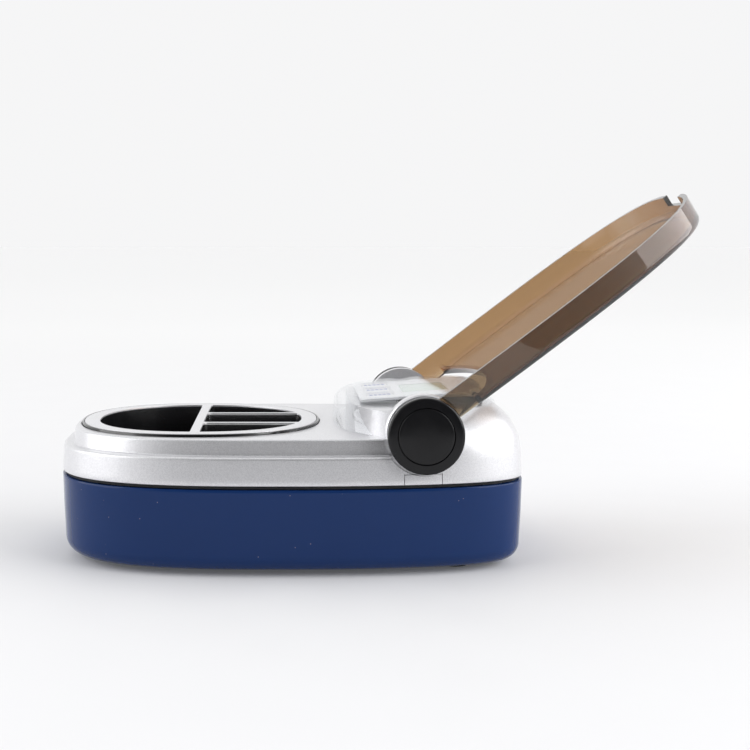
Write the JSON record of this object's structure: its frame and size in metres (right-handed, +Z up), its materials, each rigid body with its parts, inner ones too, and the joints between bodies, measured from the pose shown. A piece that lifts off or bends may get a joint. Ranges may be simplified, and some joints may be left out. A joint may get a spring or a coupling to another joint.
{
  "type": "pill station",
  "caption": "Oblong tabletop pill station with a divided tray, a raised console with a display and keys, and a smoke-brown lid on two round side hinges.",
  "frame": {"origin": "bottom centre of the whole object with its lid open, on the surface that the feet stand on", "axes": "+X towards the console and hinge end, +Y towards the far side, +Z up"},
  "size_m": [0.25, 0.1192, 0.142],
  "materials": {
    "blue_plastic": "glossy navy blue with fine specks",
    "silver_plastic": "silver metallic paint",
    "black_gloss": "glossy black",
    "smoke_plastic": "transparent smoke brown",
    "clear_plastic": "clear polished plastic",
    "panel_silver": "pale silver print",
    "key_plastic": "pale grey with blue dashes",
    "display": "pale green display glass",
    "dark_plastic": "matt dark grey",
    "dark_rubber": "matt black",
    "steel": "bright zinc plate",
    "board": "green solder mask",
    "battery": "printed sleeve"
  },
  "bodies": {
    "body": {"base_shell": "blue_plastic", "seam_gasket": "dark_rubber", "top_shell": "silver_plastic", "hinge_insert_near": "silver_plastic", "hinge_insert_far": "silver_plastic", "tray_tub": "black_gloss", "tray_trim": "silver_plastic", "console_wedge": "dark_plastic", "console_panel": "panel_silver", "lcd_glass": "display", "lcd_module": "dark_plastic", "console_lens": "clear_plastic", "control_board": "board", "buzzer": "dark_plastic", "battery_holder": "dark_plastic", "battery_1": "battery", "battery_2": "battery", "battery_contact_near": "steel", "battery_contact_far": "steel", "foot_1": "dark_rubber", "foot_2": "dark_rubber", "foot_3": "dark_rubber", "foot_4": "dark_rubber", "screw_1": "steel", "screw_2": "steel", "screw_3": "steel", "screw_4": "steel", "hinge_cap_near": "black_gloss", "hinge_cap_far": "black_gloss", "cap_disc_near": "black_gloss", "cap_disc_far": "black_gloss", "hinge_pin_near": "steel", "hinge_pin_far": "steel"},
    "lid": {"lid": "smoke_plastic"},
    "battery_door": {"battery_door": "blue_plastic"},
    "key_1": {"console_key_1": "key_plastic"},
    "key_2": {"console_key_2": "key_plastic"},
    "key_3": {"console_key_3": "key_plastic"}
  },
  "joints": [
    {"name": "lid_hinge", "type": "hinge", "parent": "body", "child": "lid", "pos_m": [0.0147, 0, 0.0524], "axis": [0, -1, 0], "range_deg": [0, 142.8]},
    {"name": "battery_door_slide", "type": "slide", "parent": "body", "child": "battery_door", "axis": [1, 0, 0], "range_m": [0, 0.012]},
    {"name": "key_1_press", "type": "slide", "parent": "body", "child": "key_1", "axis": [0, 0, -1], "range_m": [0, 0.0006], "stiffness_N_per_m": 300},
    {"name": "key_2_press", "type": "slide", "parent": "body", "child": "key_2", "axis": [0, 0, -1], "range_m": [0, 0.0006], "stiffness_N_per_m": 300},
    {"name": "key_3_press", "type": "slide", "parent": "body", "child": "key_3", "axis": [0, 0, -1], "range_m": [0, 0.0006], "stiffness_N_per_m": 300}
  ]
}
